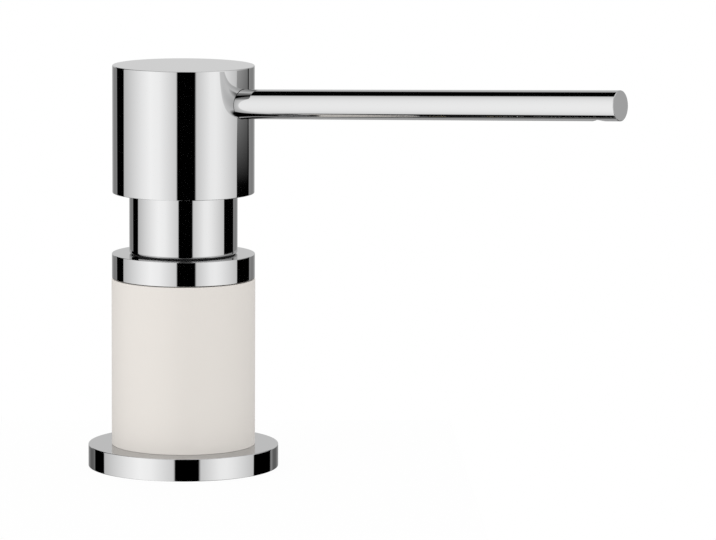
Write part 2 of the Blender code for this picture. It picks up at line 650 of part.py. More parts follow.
def make_head():
    head = add_carrier("pump_head")
    spout_axis = add_carrier("spout_axis", SPOUT_HEIGHT, head, math.pi / 2 - SPOUT_RISE)
    cap = add_turned("head_cap", head, [
        (0, CAP_TOP), (CAP, CAP_TOP, CAP_EDGE), (CAP, CAP_BOTTOM, CAP_EDGE),
        (CAP_BORE, CAP_BOTTOM), (CAP_BORE, CAP_CEILING), (0, CAP_CEILING),
    ], WIDE_SIDES, "chrome", on_axis=True)
    add_washer("cap_guide_ring", head, CORE, GUIDE_BORE, GUIDE_TOP, GUIDE_BOTTOM, WIDE_SIDES,
               "grey_plastic")
    seal_radius = SWIVEL_SEAL_WIRE / 2
    seal_middle = STEM + SEAL_GAP + seal_radius
    groove = seal_middle + seal_radius + SEAL_GAP
    groove_half = seal_radius + GROOVE_ROOM / 2
    core = add_turned("head_core", head, [
        (CORE, CORE_TOP), (CORE, CORE_BOTTOM), (BOSS, CORE_BOTTOM), (BOSS, BOSS_END),
        (STEM_HOLE, BOSS_END), (STEM_HOLE, SWIVEL_SEAL - groove_half),
        (groove, SWIVEL_SEAL - groove_half), (groove, SWIVEL_SEAL + groove_half),
        (STEM_HOLE, SWIVEL_SEAL + groove_half), (STEM_HOLE, SOCKET_CEILING),
        (OUTLET_THROAT, SOCKET_CEILING), (OUTLET_THROAT, CORE_TOP),
    ], MIDDLE_SIDES, "grey_plastic")
    add_seal("swivel_seal", head, seal_middle, SWIVEL_SEAL_WIRE, SWIVEL_SEAL, NARROW_SIDES)
    make_spout(spout_axis, cap, core)


def make_spout(spout_axis, cap, core):
    inner_end = SPOUT_REACH - SPOUT_WALL
    tube = add_turned("spout_tube", spout_axis, [
        (0, SPOUT_REACH), (SPOUT, SPOUT_REACH, SPOUT_END_EDGE), (SPOUT, SPOUT_ROOT),
        (SPOUT_BORE, SPOUT_ROOT), (SPOUT_BORE, inner_end), (0, inner_end),
    ], MIDDLE_SIDES, "chrome", on_axis=True)
    drill = drill_mesh("outlet_drill", OUTLET_DIAMETER / 2, SPOUT + CUT_OVERRUN, NARROW_SIDES)
    outlet = add_tool("outlet_drill", drill, spout_axis)
    outlet.location.z = SPOUT_REACH - OUTLET_FROM_END
    outlet.rotation_euler.y = math.pi / 2
    combine(tube, outlet)
    seal_start = SPOUT_ROOT - FIT_GAP - SPOUT_SEAL_THICKNESS
    add_washer("spout_seal", spout_axis, SPOUT, SPOUT_BORE, seal_start + SPOUT_SEAL_THICKNESS,
               seal_start, NARROW_SIDES, "black_rubber")
    wide_start = seal_start - FIT_GAP
    wide_mesh = drill_mesh("spout_hole", SPOUT_HOLE, CAP + CUT_OVERRUN - wide_start, MIDDLE_SIDES)
    wide = add_tool("spout_hole", wide_mesh, spout_axis)
    wide.location.z = wide_start
    cross_length = CROSS_BORE_PAST_AXIS + wide_start + CUT_OVERRUN
    cross_mesh = drill_mesh("cross_bore", SPOUT_BORE, cross_length, NARROW_SIDES)
    cross = add_tool("cross_bore", cross_mesh, spout_axis)
    cross.location.z = -CROSS_BORE_PAST_AXIS
    slot_height = SPOUT_HEIGHT - SOCKET_CEILING + CUT_OVERRUN
    slot = add_tool("channel_slot", block_mesh("channel_slot", CHANNEL_SLOT, 2 * STEM_BORE,
                                               slot_height))
    slot.location.z = SPOUT_HEIGHT - slot_height / 2
    combine(core, slot)
    combine(cap, wide)
    combine(core, wide)
    combine(core, cross)


clear_scene()
PARTS = add_collection("soap_dispenser")
CUTTERS = add_collection("cutters")
make_base()
make_clamp()
make_insert()
make_stem()
make_head()
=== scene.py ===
"""Looks of the built-in washing-up liquid dispenser: finishes, fine turned surfaces, threads, studio."""

import json
import math

import bmesh
import bpy
from mathutils import Matrix, Vector


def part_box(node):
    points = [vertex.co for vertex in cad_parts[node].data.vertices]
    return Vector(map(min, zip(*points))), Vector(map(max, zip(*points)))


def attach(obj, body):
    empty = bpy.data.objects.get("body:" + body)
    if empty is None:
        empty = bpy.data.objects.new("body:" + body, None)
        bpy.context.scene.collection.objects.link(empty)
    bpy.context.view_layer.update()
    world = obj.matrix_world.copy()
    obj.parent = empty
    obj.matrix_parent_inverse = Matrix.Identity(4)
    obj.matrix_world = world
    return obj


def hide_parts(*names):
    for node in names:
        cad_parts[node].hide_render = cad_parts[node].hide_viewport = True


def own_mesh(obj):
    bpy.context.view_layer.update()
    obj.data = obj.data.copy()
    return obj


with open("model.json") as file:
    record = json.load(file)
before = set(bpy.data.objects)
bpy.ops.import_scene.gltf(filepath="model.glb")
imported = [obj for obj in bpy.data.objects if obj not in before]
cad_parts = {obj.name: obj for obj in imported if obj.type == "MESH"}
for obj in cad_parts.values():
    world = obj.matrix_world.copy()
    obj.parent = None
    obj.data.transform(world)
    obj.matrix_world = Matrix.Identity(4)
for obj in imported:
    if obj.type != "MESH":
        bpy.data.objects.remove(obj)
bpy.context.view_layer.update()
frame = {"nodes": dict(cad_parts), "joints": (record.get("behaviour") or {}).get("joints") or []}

UP = Vector((0, 0, 1))

# Gaps and walls that the frame's boxes don't give
FIT_GAP = 0.0003
SEAL_GAP = 0.0002
SEAT_GAP = 0.00002           # the sleeve's foot stands all but on the flange
SEAT_EDGE = 0.00006
COLLAR_DROP = 0.0001         # and the collar comes this much nearer to the sleeve
COLLAR_TOP_DROP = 0.0002     # and ends this much lower, with the dark foot washer (painted shade of the gap) close on it
CUT_OVERRUN = 0.0020
SHANK_WALL = 0.0017
SPIGOT_WALL = 0.0017
NECK_WALL = 0.0013
NECK_WEB = 0.0015
FOOT_SHADE_WASHER = 0.0002         # black ring seen between the collar and the neck's foot: partly a washer, partly painted shade of the gap
FOOT_SHADE_WASHER_SETBACK = 0.0005
FOOT_SHADE_WASHER_WIDTH = 0.0007
GROOVE_ROOM = 0.0005
BODY_WALL = 0.0030
BODY_LIP = 0.0040
COLLAR_LIP = 0.0018
CAP_WALL = 0.00175
CAP_TOP = 0.0025
CYLINDER_WALL = 0.0012
CYLINDER_FLANGE = 0.0015
SOCKET_WALL = 0.0015
SOCKET_DEPTH = 0.0140
BUSH_DISC = 0.0056
TUBE_WALL = 0.0010
TUBE_SLANT = math.radians(40)
CYLINDER_TAPER = 0.0040
VALVE_WEB = 0.0020
INLET_BALL_ROOM = 0.0006
INLET_SEAT_WIDTH = 0.0012
STEM_ROUND_BALL = 0.0019     # from the outlet ball's side out to the bush's hole
VENT_DIAMETER = 0.0020
VENT_DROP = 0.0100
CLAMP_ROOM = 0.0006

# Return spring
SPRING_WIRE = 0.0010
SPRING_TURNS = 8
SPRING_CLOSE_TURNS = 0.5     # at each end, before the coils begin to open
SPRING_CLOSE_GAP = 0.0001
WIRE_SIDES = 16

# Edges as they are broken or rounded
TURNED_EDGE = 0.0003
FLANGE_EDGE = 0.0002
NECK_FOOT_ROUND = 0.0004
SHARP_EDGE = 0.00012
MOULDED_EDGE = 0.0005
RUBBER_EDGE = 0.0003
ARC_STEPS = 5
SEAL_ROUNDING = 0.98         # of a seal's half height, so that its arcs don't meet
HOLD_SHARE = 0.4             # of the rounding, from its end to the ring that keeps the face flat
CREASE = math.radians(35)

# Rings of faces round each kind of piece
WIDE = 192
MIDDLE = 128
NARROW = 72

# Spout
SPOUT_RISE = math.radians(3.2)
SPOUT_ROOT = 0.0034
OUTLET_DIAMETER = 0.0037
OUTLET_FROM_END = 0.0060
SPOUT_FIT = 0.0001           # seen between the spout and the cap
OUTLET_EDGE = 0.00025

# Threads and ribs
PITCH = 0.0025
THREAD_DEPTH = 0.0011
THREAD_RISE_SHARE = 0.30     # of the pitch, over which each flank climbs
THREAD_FLAT_SHARE = 0.22     # of the pitch, along the crest
THREAD_START_SHARE = 0.5     # of a turn over which a thread rises to its full depth
THREAD_ENDS = 0.0020
GRIP_PITCH = 6               # faces round the bottle's neck from one grip rib to the next
GRIP_DEPTH = 0.0005
GRIP_ENDS = 0.0025

# Clamping nut
NUT_WALL = 0.0050
WING_THICKNESS = 0.0060
WING_HEIGHT = 0.0095
WING_EDGE = 0.0008

# Bottle
BOTTLE_WALL = 0.0015
BOTTLE_NECK_WALL = 0.0020
BOTTLE_CORNER = 0.0060
BOTTLE_PUSH_UP = 0.0030
BOTTLE_LEDGE = 0.0020
BOTTLE_SHOULDER = 0.0150
SHOULDER_STEPS = 24
BALL_STEPS = 32

# Camera, set against the photograph
CAMERA_AZIMUTH = math.radians(33.88)
CAMERA_DISTANCE = 1.2697
CAMERA_HEIGHT = 0.2292
CAMERA_PITCH = math.radians(7.928)
CAMERA_YAW = math.radians(2.084)
CAMERA_ROLL = math.radians(0.299)
CAMERA_LENS = 243.5
CAMERA_FAR = 20.0

# Worktop under the dispenser
WORKTOP_THICKNESS = 0.0300
WORKTOP_HOLE = 0.0175
WORKTOP_SIDE = 0.0750
WORKTOP_FRONT = 0.1250
WORKTOP_BACK = 0.0700
WORKTOP_EDGE = 0.0010
WORKTOP_GLOW = 0.94          # share of its top that the camera sees as plain white

# Studio
STUDIO_LEVEL = 1.41          # what the chrome sees, against the light on the rest
ROOM_LEVEL = 0.945           # the even white that lights the rest
FRONT_LEVEL = 0.25           # above the camera
CEILING_LEVEL = 0.5
LAMP_WIDTH = 0.8
LAMP_HEIGHT = 1.2
LAMP_POWER = 2.4
LAMP_ASIDE = math.radians(48)
LAMP_DISTANCE = 1.3
LAMP_ABOVE = 0.55
LAMP_AIM = 0.03              # the height that it points at


class Socket:
    """An output of a shader node that can stand in a Python sum."""

    def __init__(self, graph, output):
        self.graph = graph
        self.output = output

    def math(self, operation, *others):
        return self.graph.add("Math", {"operation": operation}, dict(enumerate((self, *others))))

    def clamped(self, low=0.0, high=1.0):
        return self.graph.add("Clamp", {}, {0: self, 1: low, 2: high})

    def __add__(self, other):
        return self.math('ADD', other)

    def __sub__(self, other):
        return self.math('SUBTRACT', other)

    def __rsub__(self, other):
        return self.graph.add("Math", {"operation": 'SUBTRACT'}, {0: other, 1: self})

    def __mul__(self, other):
        return self.math('MULTIPLY', other)

    def __truediv__(self, other):
        return self.math('DIVIDE', other)

    __radd__ = __add__
    __rmul__ = __mul__


class Graph:
    """The nodes of a material or of the world."""

    def __init__(self, owner):
        owner.use_nodes = True
        self.tree = owner.node_tree
        self.tree.nodes.clear()

    def add(self, kind, settings=None, sockets=None, output=0):
        """Add a node, set it up, fill its sockets and give the named output."""
        node = self.tree.nodes.new("ShaderNode" + kind)
        for name, value in (settings or {}).items():
            if name == "stops":
                self.set_stops(node.color_ramp, value)
            else:
                setattr(node, name, value)
        for name, value in (sockets or {}).items():
            if isinstance(value, Socket):
                self.tree.links.new(value.output, node.inputs[name])
            else:
                node.inputs[name].default_value = value
        return Socket(self, node.outputs[output]) if len(node.outputs) else None

    def set_stops(self, ramp, stops):
        while len(ramp.elements) < len(stops):
            ramp.elements.new(1.0)
        for element, (place, level) in zip(ramp.elements, stops):
            element.position = place
            element.color = (level, level, level, 1.0)

    def mix(self, share, first, second):
        """Blend two colours."""
        return self.add("Mix", {"data_type": 'RGBA'}, {0: share, 6: first, 7: second}, 2)

    def ramp(self, value, low, high, stops):
        """Levels given at places along a value, with straight lines between them."""
        places = [((place - low) / (high - low), level) for place, level in stops]
        return self.add("ValToRGB", {"stops": places}, {0: (value - low) / (high - low)})

    def noise(self, scale, detail=2.0, roughness=0.5, vector=None):
        place = vector or self.add("TexCoord", output="Object")
        return self.add("TexNoise", {}, {"Vector": place, "Scale": scale, "Detail": detail,
                                         "Roughness": roughness})


def rgb(red, green, blue):
    return (red, green, blue, 1.0)


def grey(level):
    return rgb(level, level, level)


def new_finish(name):
    material = bpy.data.materials.new(name)
    return material, Graph(material)


def close_finish(graph, sockets, bump=None, depth=0.0):
    """Join the surface's values to the shader, with a bump of the given depth."""
    if bump is not None:
        sockets["Normal"] = graph.add("Bump", {}, {"Height": bump, "Distance": depth})
    shader = graph.add("BsdfPrincipled", {}, sockets)
    graph.add("OutputMaterial", {}, {"Surface": shader})


def chrome_finish():
    """Bright chrome plate, wiped clean, with the faintest smears in its gloss."""
    material, graph = new_finish("chrome_plate")
    smears = graph.noise(38.0, 4.0, 0.6)
    cloud = graph.noise(9.0, 1.0)
    close_finish(graph, {
        "Base Color": graph.mix(cloud, rgb(0.613, 0.615, 0.618), grey(0.627)),
        "Metallic": 1.0,
        "Specular Tint": grey(0.83),
        "Roughness": 0.016 + 0.030 * smears * smears,
    })
    return material


def white_finish():
    """Warm white moulding with a satin face."""
    material, graph = new_finish("white_moulding")
    cloud = graph.noise(55.0, 3.0)
    grain = graph.noise(2600.0, 2.0)
    close_finish(graph, {
        "Base Color": graph.mix(cloud, rgb(0.764, 0.725, 0.681), rgb(0.784, 0.747, 0.703)),
        "Roughness": 0.40 + 0.12 * grain,
    }, grain, 0.000012)
    return material


def plastic_finish(name, dark, light, roughness, depth=0.00002, **extra):
    """A moulded plastic: clouded colour, and a fine spark-eroded texture."""
    material, graph = new_finish(name)
    cloud = graph.noise(70.0, 3.0)
    grain = graph.noise(1500.0, 3.0, 0.6)
    sockets = {
        "Base Color": graph.mix(cloud, rgb(*dark), rgb(*light)),
        "Roughness": roughness - 0.06 + 0.12 * grain,
    }
    sockets.update(extra)
    close_finish(graph, sockets, grain, depth)
    return material


def rubber_finish():
    material, graph = new_finish("black_rubber")
    bloom = graph.noise(240.0, 4.0, 0.65)
    grain = graph.noise(1900.0, 2.0)
    close_finish(graph, {
        "Base Color": graph.mix(bloom, rgb(0.014, 0.014, 0.015), rgb(0.040, 0.040, 0.041)),
        "Roughness": 0.55 + 0.25 * bloom,
    }, grain, 0.00003)
    return material


def turned_metal_finish(name, dark, light, roughness):
    """A machined metal with fine rings left by the tool."""
    material, graph = new_finish(name)
    place = graph.add("TexCoord", output="Object")
    stretched = graph.add("Mapping", {}, {"Vector": place, "Scale": (6.0, 6.0, 900.0)})
    rings = graph.noise(6.0, 3.0, 0.6, stretched)
    stain = graph.noise(60.0, 3.0)
    close_finish(graph, {
        "Base Color": graph.mix(stain, rgb(*dark), rgb(*light)),
        "Metallic": 1.0,
        "Roughness": roughness + 0.16 * rings,
    }, rings, 0.00001)
    return material


def make_finishes():
    clear = {"Transmission Weight": 0.35, "IOR": 1.49}
    hazy = {"Transmission Weight": 0.25, "IOR": 1.52}
    return {
        "chrome_plate": chrome_finish(),
        "white_moulding": white_finish(),
        "grey_plastic": plastic_finish("grey_plastic", (0.27, 0.28, 0.29), (0.33, 0.34, 0.35), 0.46),
        "clear_plastic": plastic_finish("clear_plastic", (0.80, 0.82, 0.82), (0.86, 0.87, 0.87),
                                        0.26, 0.000006, **clear),
        "bottle_plastic": plastic_finish("bottle_plastic", (0.82, 0.82, 0.79), (0.88, 0.88, 0.85),
                                         0.42, 0.00003, **hazy),
        "black_rubber": rubber_finish(),
        "steel": turned_metal_finish("steel", (0.52, 0.53, 0.55), (0.62, 0.63, 0.65), 0.20),
        "brass": turned_metal_finish("brass", (0.66, 0.52, 0.28), (0.76, 0.62, 0.36), 0.22),
    }


def extent(node):
    """Outer radius, bottom and top of a turned node."""
    low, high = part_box(node)
    return high.x, low.z, high.z


def room(corners, index, step):
    """How far it is from one corner to the corner before or after it."""
    other = corners[(index + step) % len(corners)]
    return (Vector(other[:2]) - Vector(corners[index][:2])).length


def rounded(corners):
    """Turn corners given as (radius, height, rounding) into arcs and keep the plain ones."""
    points = []
    for index, corner in enumerate(corners):
        here = Vector(corner[:2])
        if len(corner) == 2:
            points.append(here)
            continue
        back = (Vector(corners[index - 1][:2]) - here).normalized()
        ahead = (Vector(corners[(index + 1) % len(corners)][:2]) - here).normalized()
        half_angle = back.angle(ahead) / 2
        centre = here + (back + ahead).normalized() * corner[2] / math.sin(half_angle)
        reach = corner[2] / math.tan(half_angle)
        spoke = here + back * reach - centre
        side = math.copysign(1, back.x * ahead.y - back.y * ahead.x)
        hold = reach * (1 + HOLD_SHARE)
        if room(corners, index, -1) > 2 * hold:
            points.append(here + back * hold)
        for step in range(ARC_STEPS + 1):
            turn = side * (2 * half_angle - math.pi) * step / ARC_STEPS
            points.append(centre + Matrix.Rotation(turn, 2) @ spoke)
        if room(corners, index, 1) > 2 * hold:
            points.append(here + ahead * hold)
    return points


def ring_of(shape, radius, height, sides):
    """A ring of points about Z, or the one point where the outline meets the axis."""
    if radius < SHARP_EDGE / 2:
        return [shape.verts.new((0, 0, height))]
    ring = []
    for side in range(sides):
        angle = 2 * math.pi * side / sides
        ring.append(shape.verts.new((radius * math.cos(angle), radius * math.sin(angle), height)))
    return ring


def bridge(shape, upper, lower):
    """Faces between two rings, or between a ring and a point."""
    sides = max(len(upper), len(lower))
    if sides == 1:
        return
    for side in range(sides):
        corners = [upper[side % len(upper)], lower[side % len(lower)],
                   lower[(side + 1) % len(lower)], upper[(side + 1) % len(upper)]]
        shape.faces.new(list(dict.fromkeys(corners)))


def turned_shape(corners, sides, on_axis=False):
    """Spin an outline, given down the outside and up the inside, about Z."""
    shape = bmesh.new()
    rings = [ring_of(shape, point.x, point.y, sides) for point in rounded(corners)]
    for upper, lower in zip(rings, rings[1:]):
        bridge(shape, upper, lower)
    if not on_axis:
        bridge(shape, rings[-1], rings[0])
    return shape


def mesh_from(name, shape):
    mesh = bpy.data.meshes.new(name)
    shape.to_mesh(mesh)
    shape.free()
    return mesh


def add_piece(name, mesh, body, slot, node=None):
    """Show a mesh as a piece of the object: its finish, its body and the node it stands for."""
    mesh.shade_smooth()
    mesh.set_sharp_from_angle(angle=CREASE)
    mesh.materials.clear()
    mesh.materials.append(FINISHES[slot])
    piece = bpy.data.objects.new(name, mesh)
    bpy.context.scene.collection.objects.link(piece)
    normals = piece.modifiers.new("Even faces", 'WEIGHTED_NORMAL')
    normals.keep_sharp = True
    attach(piece, body)
    if node:
        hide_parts(node)
    return piece


def add_turned(node, body, slot, corners, sides=MIDDLE, on_axis=False):
    mesh = mesh_from(node, turned_shape(corners, sides, on_axis))
    return add_piece("fine_" + node, mesh, body, slot, node)


def ring_corners(outer, bottom, top, inner, edge):
    """The outline of a ring whose four edges are rounded alike."""
    return [(outer, top, edge), (outer, bottom, edge), (inner, bottom, edge), (inner, top, edge)]


def add_ring(node, body, slot, inner, edge, sides=MIDDLE):
    """A washer or flat gasket with broken edges, as tall and wide as its node."""
    add_turned(node, body, slot, ring_corners(*extent(node), inner, edge), sides)


def add_seal(node, body):
    """A rubber ring of round section that fills its node's box."""
    outer, bottom, top = extent(node)
    wire = (top - bottom) / 2
    corners = ring_corners(outer, bottom, top, outer - 2 * wire, wire * SEAL_ROUNDING)
    add_turned(node, body, "black_rubber", corners)


def combine(mesh, tool_shape, operation='DIFFERENCE'):
    """The mesh less another closed shape, or joined to it."""
    whole = bpy.data.objects.new("whole", mesh)
    tool = bpy.data.objects.new("tool", mesh_from("tool", tool_shape))
    for item in (whole, tool):
        bpy.context.scene.collection.objects.link(item)
    boolean = whole.modifiers.new("Combine", 'BOOLEAN')
    boolean.object = tool
    boolean.operation = operation
    boolean.solver = 'EXACT'
    result = bpy.data.meshes.new_from_object(
        whole.evaluated_get(bpy.context.evaluated_depsgraph_get()))
    result.name = mesh.name
    for item in (whole, tool):
        bpy.data.objects.remove(item)
    return result


def drill(radius, start, end, sides=NARROW):
    """A closed cylinder about Z from one height to the other."""
    return turned_shape([(0, end), (radius, end), (radius, start), (0, start)], sides, True)


def make_base():
    shank = extent("threaded_shank")[0]
    hole = shank + FIT_GAP
    bore = shank - SHANK_WALL
    outer, bottom, top = extent("base_flange")
    gasket, gasket_bottom, gasket_top = extent("deck_gasket")
    recess = gasket + FIT_GAP
    recess_top = gasket_top + FIT_GAP
    add_turned("base_flange", "base", "chrome_plate", [
        (hole, top), (outer, top, FLANGE_EDGE), (outer, bottom, SHARP_EDGE), (recess, bottom),
        (recess, recess_top), (hole, recess_top),
    ], WIDE)
    add_ring("deck_gasket", "base", "black_rubber", hole, RUBBER_EDGE)
    outer, bottom, top = extent("body_sleeve")
    bottom -= FIT_GAP - SEAT_GAP
    relief = outer - BODY_WALL
    add_turned("body_sleeve", "base", "white_moulding", [
        (outer, top, TURNED_EDGE), (outer, bottom, SEAT_EDGE), (hole, bottom),
        (hole, bottom + BODY_LIP), (relief, bottom + BODY_LIP), (relief, top - BODY_LIP),
        (hole, top - BODY_LIP), (hole, top),
    ], WIDE)
    outer, bottom, top = extent("collar_ring")
    bottom -= COLLAR_DROP
    top -= COLLAR_TOP_DROP
    add_turned("collar_ring", "base", "chrome_plate", [
        (outer, top, SHARP_EDGE), (outer, bottom, SHARP_EDGE), (hole, bottom),
        (hole, top - COLLAR_LIP), (bore, top - COLLAR_LIP), (bore, top, SHARP_EDGE),
    ], WIDE)
    make_shank()
    make_bottle(hole, bore)
    add_ring("bottle_seal", "base", "black_rubber", bore, RUBBER_EDGE)


def thread_rings(shape, root, crest, start, end, sides):
    """Faces of a screw thread that climbs from start to end, and the level ring at each end."""
    turns = int((end - start - 2 * THREAD_ENDS) / PITCH) - 1
    first = start + THREAD_ENDS
    places = (0, THREAD_RISE_SHARE, THREAD_RISE_SHARE + THREAD_FLAT_SHARE,
              2 * THREAD_RISE_SHARE + THREAD_FLAT_SHARE)
    crests = (0, 1, 1, 0)
    total = turns * sides
    rows = []
    for step in range(total + 1):
        turn = step / sides
        fade = min(1, turn / THREAD_START_SHARE, (turns - turn) / THREAD_START_SHARE)
        angle = 2 * math.pi * turn
        row = []
        for place, high in zip(places, crests):
            radius = root + (crest - root) * high * max(0, fade)
            row.append(shape.verts.new((radius * math.cos(angle), radius * math.sin(angle),
                                        first + PITCH * (turn + place))))
        rows.append(row)
    for step in range(total):
        here, ahead = rows[step], rows[step + 1]
        for place in range(3):
            shape.faces.new([here[place], ahead[place], ahead[place + 1], here[place + 1]])
    for step in range(total - sides):
        shape.faces.new([rows[step][3], rows[step + 1][3], rows[step + sides + 1][0],
                         rows[step + sides][0]])
    lower = ring_of(shape, root, start, sides)
    upper = ring_of(shape, root, end, sides)
    for side in range(sides):
        after = (side + 1) % sides
        low_edge = [lower[side], lower[after]]
        high_edge = [upper[after], upper[side]]
        shape.faces.new([*low_edge, rows[side + 1][0], rows[side][0]] if side < sides - 1 else
                        [*low_edge, *rows[0], rows[sides][0], rows[sides - 1][0]])
        last = total - sides + side
        shape.faces.new([rows[last][3], rows[last + 1][3], *high_edge] if side < sides - 1 else
                        [rows[last][3], *reversed(rows[total]), *high_edge])
    return upper, lower


def make_shank():
    """The tube that ties the base to the worktop, with its screw thread under the flange."""
    outer, bottom, top = extent("threaded_shank")
    bore = outer - SHANK_WALL
    root = outer - THREAD_DEPTH
    thread_top = -THREAD_ENDS
    shape = bmesh.new()
    upper, lower = thread_rings(shape, root, outer, bottom + THREAD_ENDS, thread_top, NARROW)
    plain = rounded([(outer, thread_top + THREAD_DEPTH), (outer, top - MOULDED_EDGE),
                     (outer - MOULDED_EDGE, top), (bore, top), (bore, bottom),
                     (root - MOULDED_EDGE, bottom), (root, bottom + MOULDED_EDGE)])
    rings = [ring_of(shape, point.x, point.y, NARROW) for point in plain]
    for first, second in zip([upper, *rings], [*rings, lower]):
        bridge(shape, second, first)
    add_piece("fine_threaded_shank", mesh_from("threaded_shank", shape), "base", "brass",
              "threaded_shank")


def shoulder(start, end, top, bottom):
    """Points down an S-shaped shoulder from one radius to another."""
    points = []
    for step in range(SHOULDER_STEPS + 1):
        share = step / SHOULDER_STEPS
        ease = share * share * (3 - 2 * share)
        points.append((start + (end - start) * share, top + (bottom - top) * ease))
    return points


def is_at(vertex, radius):
    """Whether a point of a turned shape lies at the given radius."""
    return abs(math.hypot(vertex.co.x, vertex.co.y) - radius) < SHARP_EDGE


def make_bottle(hole, bore):
    outer, bottom, top = extent("soap_bottle")
    seal_bottom = extent("bottle_seal")[1]
    ledge_top = seal_bottom - FIT_GAP
    shoulder_start = ledge_top - BOTTLE_LEDGE
    shoulder_end = shoulder_start - BOTTLE_SHOULDER
    inner = outer - BOTTLE_WALL
    neck = hole + BOTTLE_NECK_WALL
    stand = outer - 2 * BOTTLE_CORNER
    grip_top, grip_bottom = top - GRIP_ENDS, shoulder_start + GRIP_ENDS
    outside = [(neck, top, MOULDED_EDGE), (neck, grip_top), (neck, grip_top - GRIP_DEPTH),
               (neck, grip_bottom + GRIP_DEPTH), (neck, grip_bottom),
               *shoulder(neck, outer, shoulder_start, shoulder_end)]
    inside = shoulder(bore, inner, shoulder_start - BOTTLE_WALL, shoulder_end - BOTTLE_WALL)
    inside.reverse()
    shape = turned_shape([
        *outside, (outer, bottom, BOTTLE_CORNER), (stand, bottom, MOULDED_EDGE),
        (stand - BOTTLE_PUSH_UP, bottom + BOTTLE_PUSH_UP, MOULDED_EDGE),
        (0, bottom + BOTTLE_PUSH_UP), (0, bottom + BOTTLE_PUSH_UP + BOTTLE_WALL),
        (stand - BOTTLE_PUSH_UP, bottom + BOTTLE_PUSH_UP + BOTTLE_WALL),
        (stand, bottom + BOTTLE_WALL),
        (inner, bottom + BOTTLE_WALL, BOTTLE_CORNER - BOTTLE_WALL), *inside,
        (bore, ledge_top), (hole, ledge_top), (hole, top),
    ], WIDE)
    for vertex in shape.verts:
        if grip_top > vertex.co.z > grip_bottom and is_at(vertex, neck):
            side = round(math.atan2(vertex.co.y, vertex.co.x) / (2 * math.pi) * WIDE)
            if side % GRIP_PITCH < GRIP_PITCH / 2:
                vertex.co.x *= 1 - GRIP_DEPTH / neck
                vertex.co.y *= 1 - GRIP_DEPTH / neck
    add_piece("fine_soap_bottle", mesh_from("soap_bottle", shape), "base", "bottle_plastic",
              "soap_bottle")


def make_clamp():
    hole = extent("threaded_shank")[0] + CLAMP_ROOM
    add_ring("clamp_gasket", "clamp", "black_rubber", hole, RUBBER_EDGE)
    add_ring("clamp_washer", "clamp", "steel", hole, SHARP_EDGE)
    make_nut(hole)


def nut_outline(hub, reach):
    """Points round the nut seen from above: the hub and four wings with round ends."""
    half = WING_THICKNESS / 2
    wing = []
    for step in range(ARC_STEPS * 2 + 1):
        angle = -math.pi / 2 + math.pi * step / (ARC_STEPS * 2)
        wing.append(Vector((reach - half + half * math.cos(angle), half * math.sin(angle))))
    points = []
    start = math.asin(half / hub)
    for quarter in range(4):
        turn = Matrix.Rotation(quarter * math.pi / 2, 2)
        points += [turn @ point for point in wing]
        for step in range(ARC_STEPS * 3 + 1):
            angle = start + (math.pi / 2 - 2 * start) * step / (ARC_STEPS * 3)
            points.append(turn @ Vector((hub * math.cos(angle), hub * math.sin(angle))))
    return points


def make_nut(hole):
    """The clamping nut: a hub with four wings for the fingers. Its thread isn't shown."""
    low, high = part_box("clamp_nut")
    hub = hole + NUT_WALL
    curve = bpy.data.curves.new("clamp_nut", 'CURVE')
    curve.dimensions = '2D'
    curve.fill_mode = 'BOTH'
    curve.extrude = WING_HEIGHT / 2 - WING_EDGE
    curve.bevel_depth = WING_EDGE
    curve.bevel_resolution = 3
    curve.offset = -WING_EDGE
    rim = nut_outline(hub - WING_EDGE, high.x)
    within = (hole + hub) / 2
    bore = [Vector((within * math.cos(a), within * math.sin(a)))
            for a in (-2 * math.pi * side / NARROW for side in range(NARROW))]
    for points in (rim, bore):
        spline = curve.splines.new('POLY')
        spline.points.add(len(points) - 1)
        for target, point in zip(spline.points, points):
            target.co = (point.x, point.y, 0, 1)
        spline.use_cyclic_u = True
    holder = bpy.data.objects.new("nut_outline", curve)
    bpy.context.scene.collection.objects.link(holder)
    wings = bpy.data.meshes.new_from_object(
        holder.evaluated_get(bpy.context.evaluated_depsgraph_get()))
    bpy.data.objects.remove(holder)
    wings.transform(Matrix.Translation((0, 0, low.z + WING_HEIGHT / 2)))
    shape = turned_shape([
        (hub, high.z, WING_EDGE), (hub, low.z, WING_EDGE), (hole, low.z, MOULDED_EDGE),
        (hole, high.z, MOULDED_EDGE),
    ], MIDDLE)
    add_piece("fine_clamp_nut", combine(wings, shape, 'UNION'), "nut", "grey_plastic",
              "clamp_nut")


